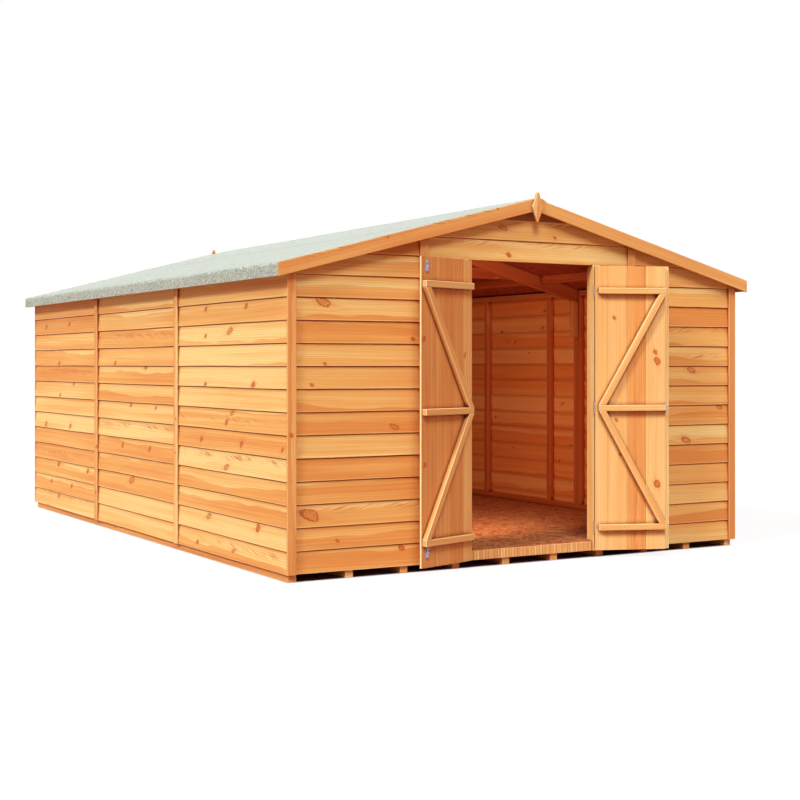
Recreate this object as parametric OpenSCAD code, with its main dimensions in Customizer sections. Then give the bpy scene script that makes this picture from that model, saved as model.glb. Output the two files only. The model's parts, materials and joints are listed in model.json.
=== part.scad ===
// Apex-roofed wooden garden shed: lapped boards on a light frame, a felted roof
// and a pair of ledged and braced doors on butt hinges, standing open.
// The front gable faces -Y, +X is to the right, +Z is up.
// The origin is on the ground at the middle of the plan.

/* [Body] */
// Width over the wall framing
body_w = 2970; // [2400:10:3600]
// Length over the wall framing
body_l = 4420; // [3600:10:6000]
// Height of the side framing's outer top edge above the ground
eave_h = 1611; // [1400:1:1900]
// Thickness of the wall framing, both ways
frame_t = 36; // [28:1:50]
// Wall panels along each side
side_panels = 3; // [2:1:4]
// Distance of the inner studs from the middle of a side panel
stud_offset = 400; // [250:10:480]
// Distance of the gable's panel joints from the middle
joint_x = 700; // [600:1:900]
// Gap between neighbouring wall panels
panel_gap = 2; // [1.5:0.5:4]

/* [Cladding] */
// Visible height of one lap board
course = 116.5; // [90:0.5:160]
// Thickness of one lap board
board_t = 8; // [6:0.5:14]
// Height of the lowest board edge above the ground
skirt_z = 40; // [20:1:60]
// Width of the corner and cover strips
strip_w = 49; // [36:1:70]
// Thickness of the corner and cover strips
strip_t = 12; // [8:1:20]

/* [Floor] */
// Number of floor joists
joist_n = 10; // [6:1:14]
// Width of a floor joist
joist_w = 45; // [36:1:60]
// Height of a floor joist
joist_h = 79; // [70:1:120]
// Thickness of the floor sheet
deck_t = 11; // [9:1:18]

/* [Roof] */
// Pitch of the roof in degrees
roof_pitch = 14.6; // [11:0.1:22]
// Thickness of the roof sheet
sheet_t = 11; // [9:1:18]
// Thickness of the felt
felt_t = 3; // [2:0.5:5]
// Clearance where one piece is cut to seat against another
seat = 0.2; // [0.1:0.05:0.4]
// Reach of the roof sheet beyond the side framing
eave_over = 73; // [60:1:160]
// Reach of the roof sheet beyond the gable framing
verge_over = 50; // [40:1:120]
// Height of the felted band along the eaves
eave_band = 65; // [45:1:90]
// Thickness of the eaves batten
batten_t = 20; // [14:1:32]
// Depth of a bargeboard, measured upright
barge_h = 70; // [50:1:110]
// Thickness of a bargeboard
barge_t = 12; // [10:1:20]
// Reach of a bargeboard's end beyond the felt
barge_end = 3; // [0:1:12]
// Width of the finial
finial_w = 72; // [50:1:110]
// Width of the finial's neck, under its spike
finial_neck = 28; // [16:1:40]
// Height of the finial's neck above its widest level
neck_up = 44; // [30:1:60]
// Thickness of the finial
finial_t = 15; // [10:1:24]
// Height of the finial's point above its widest level
finial_up = 75; // [66:1:100]
// Depth of the finial's point below its widest level
finial_down = 92; // [60:1:140]
// Depth of the finial's widest level below the bargeboards' top
finial_drop = 41; // [20:1:60]

/* [Roof trusses] */
// Depth of a rafter
rafter_d = 92; // [70:1:120]
// Height of the tie's lower edge above the eaves
tie_rise = 61; // [30:1:90]
// Depth of the tie
tie_d = 70; // [50:1:90]
// Width of a truss leg
leg_w = 50; // [36:1:80]
// Reach of a truss leg below the eaves
leg_drop = 325; // [200:5:500]
// Distance of the purlins from the middle
purlin_x = 1150; // [900:10:1180]
// Depth of a purlin
purlin_d = 48; // [36:1:70]

/* [Doorway] */
// Clear width between the door posts
door_w = 845; // [700:5:1000]
// Height of the doorway's head above the side framing's top
head_rise = 50; // [20:1:120]
// Width of a door post
post_w = 44; // [36:1:60]
// Radius of the rounded back corner at a door post's top
post_round = 30; // [10:1:36]
// Thickness of the threshold strip
threshold_t = 12; // [8:1:20]
// Running gap round the door leaves
door_gap = 5; // [5:0.5:8]

/* [Door leaves] */
// Thickness of the door boards
leaf_t = 12; // [10:1:20]
// Height of a ledge or brace across its face
ledge_h = 34; // [28:1:60]
// Thickness of a ledge or brace
ledge_t = 30; // [20:1:40]
// Distance of the ledges from the hinge edge
ledge_inset = 15; // [8:1:40]
// Distance of the ledges from the free edge
ledge_end = 5; // [5:1:20]
// Depth of the top ledge's middle below the leaf's top
top_ledge = 142; // [100:1:250]
// Room between the lower bolt and the bottom ledge
bolt_room = 3; // [2:1:60]
// Depth to which a brace is let into a ledge
brace_let = 6; // [3:1:12]
// Width of the cover strip along the meeting edge
meeting_w = 48; // [30:1:60]
// Lap of the cover strip past its own leaf
meeting_lap = 26; // [12:1:32]
// Thickness of the cover strip
meeting_t = 12; // [10:1:16]
// How far the left leaf stands open, in degrees
left_open = 162; // [0:0.1:172]
// How far the right leaf stands open, in degrees
right_open = 159; // [0:0.1:172]

/* [Hinges and locks] */
// Height of a butt hinge
hinge_h = 70; // [50:1:100]
// Width of one hinge plate
plate_w = 22; // [16:1:30]
// Thickness of a hinge plate
plate_t = 2; // [1.5:0.1:3]
// Radius of the hinge knuckle
knuckle_r = 4.5; // [4:0.1:6]
// Radius of the hinge pin
pin_r = 2.5; // [1.5:0.1:2.8]
// Gap between neighbouring knuckles, and between a knuckle and the wood
knuckle_gap = 0.5; // [0.3:0.1:1]
// Running clearance round the pin
pin_play = 0.08; // [0.02:0.01:0.1]
// Height of a barrel bolt's plate
bolt_h = 60; // [50:1:110]
// Width of a barrel bolt's plate
bolt_w = 24; // [18:1:34]
// Radius of the barrel bolt's rod
rod_r = 4; // [3:0.5:6]
// Distance of the barrel bolts from the free edge
bolt_edge = 42; // [30:1:80]
// Height of the lock's edge plate
lock_h = 52; // [40:1:80]
// Width of the lock's edge plate
lock_w = 14; // [10:1:20]
// Radius of the key plate
key_r = 16; // [10:1:22]
// Reach of the latch beyond the lock's edge plate
latch = 7; // [4:0.5:8]

/* [Hidden] */
$fn = 48;

board_wood = "#E2A45C";
frame_wood = "#C9793C";
trim_wood = "#E0A05A";
door_wood = "#EDBC74";
sheet_wood = "#B9713A";
felt_green = "#C3CCC0";
zinc = "#B4B2B8";

// Half sizes of the framing, and its inner faces
half_w = body_w / 2;
half_l = body_l / 2;
inner_w = half_w - frame_t;
inner_l = half_l - frame_t;
deck_z = joist_h + deck_t;
rail_top = deck_z + frame_t;
lap_t = 2 * board_t;

// Upright thicknesses of the sloping pieces
slope = tan(roof_pitch);
upright = 1 / cos(roof_pitch);
sheet_v = sheet_t * upright;
felt_v = felt_t * upright;
frame_v = frame_t * upright;
rafter_v = rafter_d * upright;

// Roof lines
ridge_z = eave_h + half_w * slope;
roof_x = half_w + eave_over;
roof_l = half_l + verge_over;
barge_x = roof_x + felt_t + barge_end;
barge_z = ridge_z + sheet_v + felt_v;
band_z = under(roof_x) + sheet_v - eave_band;
ridge_gap = 0.5;

// Panel joints and trusses along the sides
panel_l = body_l / side_panels;
joint_ys = [for (i = [1 : side_panels - 1]) -half_l + i * panel_l];
tie_z = eave_h + tie_rise;

// Doorway: the post fronts are level with the outer faces of the closed leaves
door_head = eave_h + head_rise;
post_x = door_w / 2;
post_out = post_x + post_w;
face_out = threshold_t + door_gap + leaf_t;
face_y = -half_l - face_out;

// Hinge axis and leaf, in a frame with its origin on the hinge pin
pin_off = knuckle_r + knuckle_gap;
pin_x = post_x - door_gap / 2;
pin_y = face_y - pin_off;
leaf_x0 = door_gap / 2;
leaf_w = (door_w - 3 * door_gap) / 2;
leaf_x1 = leaf_x0 + leaf_w;
leaf_y1 = pin_off + leaf_t;
leaf_z0 = skirt_z + door_gap;
leaf_z1 = door_head - door_gap;
ledge_x0 = leaf_x0 + ledge_inset;
ledge_x1 = leaf_x1 - ledge_end;
ledge_top_z = leaf_z1 - top_ledge;
ledge_mid_z = (leaf_z0 + leaf_z1) / 2;
bolt_z = deck_z + door_gap;
ledge_low_z = bolt_z + bolt_h + bolt_room + ledge_h / 2;
ledge_zs = [ledge_low_z, ledge_mid_z, ledge_top_z];

// Underside of the roof sheet at a distance from the middle
function under(x) = ridge_z - abs(x) * slope;

// Lapped outline between two levels, as [distance outwards, height]; the last board may be a wide one
function lap_outline(z0, z1, most = 100) =
    let (n = min(most, ceil((z1 - z0) / course - 0.001)))
    concat(
        [[0, z0]],
        [for (i = [0 : n - 1], p = lap_course(z0 + i * course, z1, i == most - 1)) p],
        [[0, z1]]
    );

// Lower and upper outer corner of one lap board, cut off at the top level or reaching up to it
function lap_course(z, top, wide) =
    let (h = wide ? top - z : min(course, top - z))
    [[lap_t, z], [lap_t - board_t * min(1, h / course), z + h]];

// Four-sided sloping outline under the roof, from one distance to another
function slope_strip(x0, x1, top, depth) = [
    [x0, under(x0) - top],
    [x1, under(x1) - top],
    [x1, under(x1) - top - depth],
    [x0, under(x0) - top - depth]
];

// Upright outline from a level to the sloping line under the roof
function to_slope(x0, x1, z0, top) = concat(
    [[x0, z0], [x1, z0], [x1, under(x1) - top]],
    x0 < 0 && x1 > 0 ? [[0, under(0) - top]] : [],
    [[x0, under(x0) - top]]
);

// Outline in X and Z, drawn from y0 to y1
module along_y(outline, y0, y1)
    translate([0, y1, 0])
        rotate([90, 0, 0])
            linear_extrude(y1 - y0)
                polygon(outline);

// Outline in Y and Z, drawn from x0 to x1
module along_x(outline, x0, x1)
    translate([x0, 0, 0])
        rotate([90, 0, 90])
            linear_extrude(x1 - x0)
                polygon(outline);

// Box between two corners
module box(low, high)
    translate(low)
        cube(high - low);

// A piece and its copy on the other side
module both_sides() {
    children();
    mirror([1, 0, 0]) children();
}

// A piece and its copy at the other gable
module both_gables() {
    children();
    mirror([0, 1, 0]) children();
}

// Floor

module floor_joists()
    color(frame_wood)
        for (i = [0 : joist_n - 1]) {
            x = -half_w + i * (body_w - joist_w) / (joist_n - 1);
            box([x, -half_l, 0], [x + joist_w, half_l, joist_h]);
        }

module floor_deck()
    color(sheet_wood)
        box([-half_w, -half_l, joist_h], [half_w, half_l, deck_z]);

module threshold()
    color(trim_wood)
        box([-post_x, -half_l - threshold_t, skirt_z], [post_x, -half_l, deck_z]);

// Wall framing

module side_rails()
    color(frame_wood)
        both_sides()
            for (z = [deck_z, eave_h - frame_t])
                box([inner_w, -half_l, z], [half_w, half_l, z + frame_t]);

module side_studs()
    color(frame_wood)
        both_sides()
            for (i = [0 : side_panels - 1], y = stud_ys(-half_l + i * panel_l))
                box([inner_w, y, rail_top], [half_w, y + frame_t, eave_h - frame_t]);

// Near faces of the studs of one side panel
function stud_ys(y0) = [
    y0 + panel_gap / 2,
    y0 + panel_l / 2 - stud_offset - frame_t / 2,
    y0 + panel_l / 2 + stud_offset - frame_t / 2,
    y0 + panel_l - frame_t - panel_gap / 2
];

module gable_rails()
    color(frame_wood) {
        both_sides() {
            both_gables()
                along_y(slope_strip(ridge_gap, inner_w, seat, frame_v), -half_l, -inner_l);
            box([post_out, -half_l, deck_z], [inner_w, -inner_l, rail_top]);
        }
        box([-inner_w, inner_l, deck_z], [inner_w, half_l, rail_top]);
    }

// One upright of a gable, cut to the sloping rail
module gable_stud(x, z0)
    along_y(to_slope(x - frame_t / 2, x + frame_t / 2, z0, frame_v + 2 * seat), -half_l, -inner_l);

module gable_studs()
    color(frame_wood) {
        both_gables()
            both_sides()
                for (x = gable_stud_xs)
                    gable_stud(x, rail_top);
        gable_stud(0, door_head + frame_t);
        mirror([0, 1, 0]) gable_stud(0, rail_top);
    }

// Middles of the gable's uprights on one side
gable_stud_xs = [
    joint_x - (frame_t + panel_gap) / 2,
    joint_x + (frame_t + panel_gap) / 2,
    inner_w - frame_t / 2
];

// A post stands on the floor, its front half hangs over the floor's edge, and its back corner is rounded
module door_posts()
    color(trim_wood)
        both_sides()
            along_x([
                [face_y, skirt_z],
                [-half_l, skirt_z],
                [-half_l, deck_z],
                [-inner_l, deck_z],
                each [for (a = [0 : 15 : 90]) [
                    -inner_l - post_round * (1 - cos(a)),
                    door_head - post_round * (1 - sin(a))
                ]],
                [face_y, door_head]
            ], post_x, post_out);

module door_lintel()
    color(frame_wood)
        box([-post_out, -half_l, door_head], [post_out, -inner_l, door_head + frame_t]);

// Cladding

// Lapped boards on the right side, from y0 to y1
module side_lap(y0, y1)
    along_y([for (p = lap_outline(skirt_z, under(half_w + lap_t) - seat)) [half_w + p[0], p[1]]], y0, y1);

// The three panels of the right side, whose end boards reach the corner strips
module side_cladding()
    for (i = [0 : side_panels - 1])
        side_lap(
            -half_l + i * panel_l + (i == 0 ? seat - lap_t : panel_gap / 2),
            -half_l + (i + 1) * panel_l + (i == side_panels - 1 ? lap_t - seat : -panel_gap / 2)
        );

module left_cladding()
    color(board_wood)
        mirror([1, 0, 0]) side_cladding();

module right_cladding()
    color(board_wood)
        side_cladding();

// Lapped boards on the front gable, cut to the roof
module gable_lap(x0, x1, z0, most = 100)
    intersection() {
        along_x([for (p = lap_outline(z0, ridge_z, most)) [-half_l - p[0], p[1]]], x0, x1);
        along_y(to_slope(x0, x1, z0, seat), -half_l - lap_t, -half_l);
    }

module front_cladding()
    color(board_wood)
        both_sides()
            gable_lap(joint_x + panel_gap / 2, half_w, skirt_z);

module door_flank_cladding()
    color(board_wood)
        both_sides()
            along_x(
                [for (p = lap_outline(skirt_z, door_head)) [-half_l - p[0], p[1]]],
                post_out, joint_x - panel_gap / 2
            );

// One board over the doors, and a wide one above it up to the ridge
module header_cladding()
    color(board_wood)
        gable_lap(-joint_x + panel_gap / 2, joint_x - panel_gap / 2, door_head, 2);

module back_cladding()
    color(board_wood)
        mirror([0, 1, 0]) {
            both_sides()
                gable_lap(joint_x + panel_gap / 2, half_w, skirt_z);
            gable_lap(-joint_x + panel_gap / 2, joint_x - panel_gap / 2, skirt_z);
        }

// Strips over the corners and the panel joints

// Upright strip on the front gable, cut to the roof
module gable_strip(x0)
    along_y(
        to_slope(x0, x0 + strip_w, skirt_z, seat),
        -half_l - lap_t - strip_t, -half_l - lap_t
    );

module corner_strips()
    color(trim_wood)
        both_gables()
            both_sides()
                gable_strip(half_w + lap_t - strip_w);

module gable_cover_strips()
    color(trim_wood)
        both_gables()
            both_sides()
                gable_strip(joint_x - strip_w / 2);

module side_cover_strips()
    color(trim_wood)
        both_sides()
            for (y = joint_ys)
                box(
                    [half_w + lap_t, y - strip_w / 2, skirt_z],
                    [half_w + lap_t + strip_t, y + strip_w / 2, under(half_w + lap_t + strip_t) - seat]
                );

// Roof trusses

module truss_rafters_right()
    color(frame_wood)
        for (y = joint_ys)
            along_y(
                slope_strip(ridge_gap, inner_w, seat, rafter_v),
                y - frame_t / 2, y + frame_t / 2
            );

module truss_rafters_left()
    mirror([1, 0, 0]) truss_rafters_right();

// Half length of the tie where its level meets the rafters' lower edges
function tie_reach(z) = (ridge_z - rafter_v - 2 * seat - z) / slope;

module truss_ties()
    color(frame_wood)
        for (y = joint_ys)
            along_y([
                [-tie_reach(tie_z), tie_z],
                [tie_reach(tie_z), tie_z],
                [tie_reach(tie_z + tie_d), tie_z + tie_d],
                [-tie_reach(tie_z + tie_d), tie_z + tie_d]
            ], y - frame_t / 2, y + frame_t / 2);

module truss_legs()
    color(frame_wood)
        both_sides()
            for (y = joint_ys)
                along_y(
                    to_slope(inner_w - leg_w, inner_w, eave_h - leg_drop, rafter_v + 2 * seat),
                    y - frame_t / 2, y + frame_t / 2
                );

// Purlins run from gable to truss and from truss to truss
module purlins() {
    stops = concat([-inner_l - frame_t / 2], joint_ys, [inner_l + frame_t / 2]);
    color(frame_wood)
        both_sides()
            for (i = [0 : side_panels - 1])
                along_y(
                    slope_strip(purlin_x - frame_t / 2, purlin_x + frame_t / 2, seat, purlin_d),
                    stops[i] + frame_t / 2 + seat, stops[i + 1] - frame_t / 2 - seat
                );
}

// Roof covering

module roof_sheet_right()
    color(sheet_wood)
        along_y(slope_strip(0, roof_x, -sheet_v, sheet_v), -roof_l, roof_l);

module roof_sheet_left()
    mirror([1, 0, 0]) roof_sheet_right();

module eaves_battens()
    color(frame_wood)
        both_sides()
            along_y(to_slope(roof_x - batten_t, roof_x, band_z, seat), -roof_l, roof_l);

// The felt covers the slope and laps over a strip of felt on the eaves batten
module roof_felt_right()
    color(felt_green)
        along_y(slope_strip(0, roof_x + felt_t, -sheet_v - felt_v, felt_v), -roof_l, roof_l);

module roof_felt_left()
    mirror([1, 0, 0]) roof_felt_right();

module eaves_felt()
    color(felt_green)
        both_sides()
            along_y(to_slope(roof_x, roof_x + felt_t, band_z, seat - sheet_v), -roof_l, roof_l);

module bargeboards_right()
    color(trim_wood)
        both_gables()
            along_y([
                [ridge_gap, barge_z - ridge_gap * slope],
                [barge_x, barge_z - barge_x * slope],
                [barge_x, barge_z - barge_x * slope - barge_h],
                [ridge_gap, barge_z - ridge_gap * slope - barge_h]
            ], -roof_l - barge_t, -roof_l);

module bargeboards_left()
    mirror([1, 0, 0]) bargeboards_right();

module finials() {
    wide_z = barge_z - finial_drop;
    color(trim_wood)
        both_gables()
            along_y([
                [0, wide_z - finial_down],
                [finial_w / 2, wide_z],
                [finial_neck / 2, wide_z + neck_up],
                [0, wide_z + finial_up],
                [-finial_neck / 2, wide_z + neck_up],
                [-finial_w / 2, wide_z]
            ], -roof_l - barge_t - finial_t, -roof_l - barge_t);
}

// Door leaves, drawn closed round the hinge pin and then swung open

module hung_left()
    translate([-pin_x, pin_y, 0])
        rotate([0, 0, -left_open])
            children();

module hung_right()
    mirror([1, 0, 0])
        translate([-pin_x, pin_y, 0])
            rotate([0, 0, -right_open])
                children();

module leaf_boards()
    color(door_wood)
        box([leaf_x0, pin_off, leaf_z0], [leaf_x1, leaf_y1, leaf_z1]);

// Sloping brace between two ledges, let into both, from one place along the leaf to another
module brace(x0, z0, x1, z1)
    along_y([
        [x0, z0],
        [x0, z0 - brace_let],
        [x0 + ledge_h, z0 - brace_let],
        [x0 + ledge_h, z0],
        [x1 + ledge_h, z1],
        [x1 + ledge_h, z1 + brace_let],
        [x1, z1 + brace_let],
        [x1, z1]
    ], leaf_y1, leaf_y1 + ledge_t);

// Three ledges, and two braces that meet at the hinge side of the middle one
module leaf_bracing()
    color(door_wood) {
        for (z = ledge_zs)
            box(
                [ledge_x0, leaf_y1, z - ledge_h / 2],
                [ledge_x1, leaf_y1 + ledge_t, z + ledge_h / 2]
            );
        brace(
            ledge_x0, ledge_mid_z + ledge_h / 2,
            ledge_x1 - ledge_h, ledge_top_z - ledge_h / 2
        );
        brace(
            ledge_x1 - ledge_h, ledge_low_z + ledge_h / 2,
            ledge_x0, ledge_mid_z - ledge_h / 2
        );
    }

// Half of a butt hinge: a plate beside the pin, and a web to its knuckle over a share of the height
module hinge_half(z, share_low, share_high) {
    z0 = z - hinge_h / 2;
    near = knuckle_r + knuckle_gap;
    share_z0 = z0 + share_low * hinge_h + knuckle_gap;
    share_z1 = z0 + share_high * hinge_h - knuckle_gap;
    web_y = pin_off - plate_t;
    box([near, web_y, z0], [near + plate_w, pin_off, z0 + hinge_h]);
    box([knuckle_r / 2, web_y, share_z0], [near, pin_off, share_z1]);
    translate([0, 0, share_z0])
        cylinder(r = knuckle_r, h = share_z1 - share_z0);
}

// Moving halves carry the middle knuckle, bored for the pin
module leaf_hinges()
    color(zinc)
        for (z = ledge_zs)
            difference() {
                hinge_half(z, 1 / 3, 2 / 3);
                translate([0, 0, z - hinge_h])
                    cylinder(r = pin_r + pin_play, h = 2 * hinge_h);
            }

// Fixed halves carry the end knuckles and the pin
module post_hinge(z)
    mirror([1, 0, 0]) {
        hinge_half(z, 0, 1 / 3);
        hinge_half(z, 2 / 3, 1);
        translate([0, 0, z - hinge_h / 2 + knuckle_gap])
            cylinder(r = pin_r, h = hinge_h - 2 * knuckle_gap);
    }

module post_hinge_plates()
    color(zinc)
        both_sides()
            translate([-pin_x, pin_y, 0])
                for (z = ledge_zs)
                    post_hinge(z);

// Barrel bolt, drawn back: plate, two guides, rod and knob
module barrel_bolt(z0) {
    x = leaf_x1 - bolt_edge;
    rod_y = leaf_y1 + plate_t + 0.75 * rod_r;
    guide_h = bolt_h / 6;
    box([x - bolt_w / 2, leaf_y1, z0], [x + bolt_w / 2, leaf_y1 + plate_t, z0 + bolt_h]);
    translate([x, rod_y, z0])
        cylinder(r = rod_r, h = bolt_h);
    for (z = [z0 + guide_h / 2, z0 + bolt_h - 1.5 * guide_h])
        box(
            [x - 2 * rod_r, leaf_y1 + plate_t, z],
            [x + 2 * rod_r, rod_y + rod_r + plate_t, z + guide_h]
        );
    translate([x, rod_y, z0 + bolt_h / 2])
        rotate([-90, 0, 0])
            cylinder(r = 0.7 * rod_r, h = 4 * rod_r);
}

module left_door_boards()
    hung_left() leaf_boards();

module left_door_bracing()
    hung_left() leaf_bracing();

module left_door_hinge_plates()
    hung_left() leaf_hinges();

// The lower bolt clears the floor's edge, and the upper one stays below the leaf's top
module left_door_bolts() {
    bolt_clear = 4 * door_gap;
    color(zinc)
        hung_left() {
            barrel_bolt(bolt_z);
            barrel_bolt(leaf_z1 - bolt_clear - bolt_h);
        }
}

module right_door_boards()
    hung_right() leaf_boards();

module right_door_bracing()
    hung_right() leaf_bracing();

module right_door_hinge_plates()
    hung_right() leaf_hinges();

// Rebated strip on the outside of the right leaf that laps over the left leaf
module right_door_cover_strip()
    color(trim_wood)
        hung_right()
            translate([0, 0, leaf_z0])
                linear_extrude(leaf_z1 - leaf_z0)
                    polygon([
                        [leaf_x1 + meeting_lap - meeting_w, pin_off],
                        [leaf_x1 + meeting_lap - meeting_w, pin_off - meeting_t],
                        [leaf_x1 + meeting_lap, pin_off - meeting_t],
                        [leaf_x1 + meeting_lap, pin_off - door_gap],
                        [leaf_x1, pin_off - door_gap],
                        [leaf_x1, pin_off]
                    ]);

// Edge plate with its latch on the middle ledge's end, and a key plate outside
module right_door_lock() {
    plate_y = leaf_y1 + (ledge_t - lock_w) / 2;
    key_x = leaf_x1 + meeting_lap - meeting_w - 1.5 * key_r;
    color(zinc)
        hung_right() {
            box(
                [ledge_x1, plate_y, ledge_mid_z - lock_h / 2],
                [ledge_x1 + plate_t, plate_y + lock_w, ledge_mid_z + lock_h / 2]
            );
            box(
                [ledge_x1, plate_y + lock_w / 8, ledge_mid_z - lock_h / 3],
                [ledge_x1 + plate_t + latch, plate_y + 7 * lock_w / 8, ledge_mid_z + lock_h / 3]
            );
            translate([key_x, pin_off, ledge_mid_z])
                rotate([90, 0, 0])
                    cylinder(r = key_r, h = plate_t);
        }
}

floor_joists();
floor_deck();
threshold();
side_rails();
side_studs();
gable_rails();
gable_studs();
door_posts();
door_lintel();
left_cladding();
right_cladding();
back_cladding();
front_cladding();
door_flank_cladding();
header_cladding();
corner_strips();
side_cover_strips();
gable_cover_strips();
truss_rafters_left();
truss_rafters_right();
truss_ties();
truss_legs();
purlins();
roof_sheet_left();
roof_sheet_right();
eaves_battens();
roof_felt_left();
roof_felt_right();
eaves_felt();
bargeboards_left();
bargeboards_right();
finials();
post_hinge_plates();
left_door_boards();
left_door_bracing();
left_door_hinge_plates();
left_door_bolts();
right_door_boards();
right_door_bracing();
right_door_hinge_plates();
right_door_cover_strip();
right_door_lock();
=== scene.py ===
"""The looks of a wooden garden shed: lapped boards, ledged doors, strand board, mineral felt and zinc."""

import json
import math
import random

import bmesh
import bpy
import numpy as np
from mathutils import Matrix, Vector


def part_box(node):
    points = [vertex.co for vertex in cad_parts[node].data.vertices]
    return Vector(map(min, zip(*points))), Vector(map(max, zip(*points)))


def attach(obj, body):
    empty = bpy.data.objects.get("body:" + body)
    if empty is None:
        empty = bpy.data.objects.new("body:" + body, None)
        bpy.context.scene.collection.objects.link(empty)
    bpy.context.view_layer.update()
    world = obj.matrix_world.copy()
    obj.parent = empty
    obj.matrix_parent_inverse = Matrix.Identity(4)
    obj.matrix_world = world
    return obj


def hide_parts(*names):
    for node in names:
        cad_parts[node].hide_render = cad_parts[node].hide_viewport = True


DRAW_SEED = 11

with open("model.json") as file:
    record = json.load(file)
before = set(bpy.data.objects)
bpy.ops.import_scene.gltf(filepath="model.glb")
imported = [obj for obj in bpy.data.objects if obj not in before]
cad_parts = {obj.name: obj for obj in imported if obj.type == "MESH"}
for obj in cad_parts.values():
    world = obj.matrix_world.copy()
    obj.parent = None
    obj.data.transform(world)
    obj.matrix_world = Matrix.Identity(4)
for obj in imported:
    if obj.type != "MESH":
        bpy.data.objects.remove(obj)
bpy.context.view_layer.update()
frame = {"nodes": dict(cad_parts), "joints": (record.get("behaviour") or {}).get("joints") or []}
draw = random.Random(DRAW_SEED)

# The view: the photograph's own camera, in pixels and metres.
IMAGE_PX = 800
FOCAL_PX = 1420.6
HORIZON_PX = 364.6
CAMERA_YAW = math.radians(30.27)
CAMERA_PLACE = (-4.593, -8.649, 1.096)
SENSOR_MM = 36.0

# The light: a sun from the left, a softer one from the front, an even sky, and a glow inside the doorway.
# A sun has its azimuth (from the front toward the left), its height, its strength and its spread.
SUNS = (("key_sun", 73, 41, 2.24, 12), ("front_sun", 24, 48, 2.05, 22), ("back_sun", 205, 32, 0.9, 30))
SUN_COLOUR = (0.95, 1.0, 0.97)
SKY_STRENGTH = 0.26
SKY_COLOUR = (1.0, 0.46, 0.4, 1.0)
WHITE = (1.0, 1.0, 1.0, 1.0)
GLOW_POWER = 19.0
GLOW_TILT = (-0.2, -1.0, 0.1)
GLOW_COLOUR = (1.0, 0.66, 0.46)
GLOW_SPREAD = math.radians(140)
GLOW_SIZE = (0.5, 1.0)
GLOW_PLACE = (-0.1, -1.88, 0.9)
FLOOR_SIZE = 60.0
FLOOR_COLOUR = (0.46, 0.25, 0.19, 1.0)
FLOOR_SHADE = 0.1
# The floor's darker colour beneath the shed, painted shade, and the edge of that area.
UNDER_SHED_SHADE = (0.3, 0.25, 0.27)
UNDER_EDGE = (0.03, -0.02)

# Directions, and how near two places are to count as one, in metres.
FRONT_NORMAL = Vector((0.0, 1.0, 0.0))
SIDE_NORMAL = Vector((1.0, 0.0, 0.0))
UPRIGHT = (0, 0, 1)
SIDES = ((-1.0, "left"), (1.0, "right"))
SAME_PLACE = 0.001
WELD = 1e-6
LEAST_SIDE = 1e-4
DIGITS = 5
FLAT_ANGLE = 0.005
SHARP_ANGLE = math.radians(25)

# Lap boards and their nails, in metres.
COURSE = 0.1165
ALL_COURSES = 100
HEADER_COURSES = 2
BOARD_T = 0.008
LAP = 0.012
EDGE_ROUND = 0.002
EDGE_CUT = 0.3 * EDGE_ROUND
STATION = 0.06
ROOF_CLEAR = 0.001
SHORTEST = 0.03
SWAY_MOST = 6.0
DIP_MOST = 0.0012
WAVE_TURN = 5.0
RIPPLE_TURN = 23.0
RIPPLE_SHARE = 0.3
STUD_NEAR = 0.1
NAIL_R = 0.0028
NAIL_SIDES = 8
NAIL_DOME = 0.0008
NAIL_SHOULDER = 0.4 * NAIL_DOME
NAIL_SUNK = 0.001
NAIL_RISE = 0.024
NAIL_STRAY = 0.004

# Other timbers, in metres: rounded edges, door boards, bargeboards, finials and the threshold's blocks.
EASE = 0.0015
TRIM_EASE = 0.0035
BLOCK_EASE = 0.0008
EASE_SEGMENTS = 3
BOARD_JOINTS = (0.0, 0.176, 0.447, 0.718, 1.0)
GROOVE = 0.0012
GROOVE_DEEP = 0.0012
BARGE_STEPS = 120
BARGE_HALF = 0.035
FINIAL_OUTLINE = (
    (0.0015, 0.0), (0.0065, -0.006), (0.012, -0.017), (0.0155, -0.032), (0.0185, -0.044), (0.0355, -0.083),
    (0.0015, -0.166),
)
THRESHOLD_BLOCK = 0.0095
BLOCK_TONES = (-0.7, 0.9)

# How far the tones of boards in one set stray from each other.
COURSE_SPREAD = 0.42
TIMBER_SPREAD = 0.45
SET_SPREAD = 0.25
TRIM_SPREAD = 0.2
BLOCK_SPREAD = 0.5

# Felt, in metres.
FELT_T = 0.003
FELT_WAVE = 0.0012
FELT_LONG_TURNS = (3.1, 5.0)
FELT_SHORT_TURNS = (7.7, -3.0)
FELT_STATION = 0.09
FELT_BEND = 0.008
FELT_BEND_MIDDLE = (0.3 * FELT_BEND, 0.2 * FELT_BEND)
FELT_RIDGE_GAP = 0.02
SLOPE_POINTS = 24
BAND_POINTS = 8
CAP_POINTS = 25
CAP_REACH = 0.66
CAP_T = 0.001
FELT_CUT_ANGLE = math.radians(60)

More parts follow.
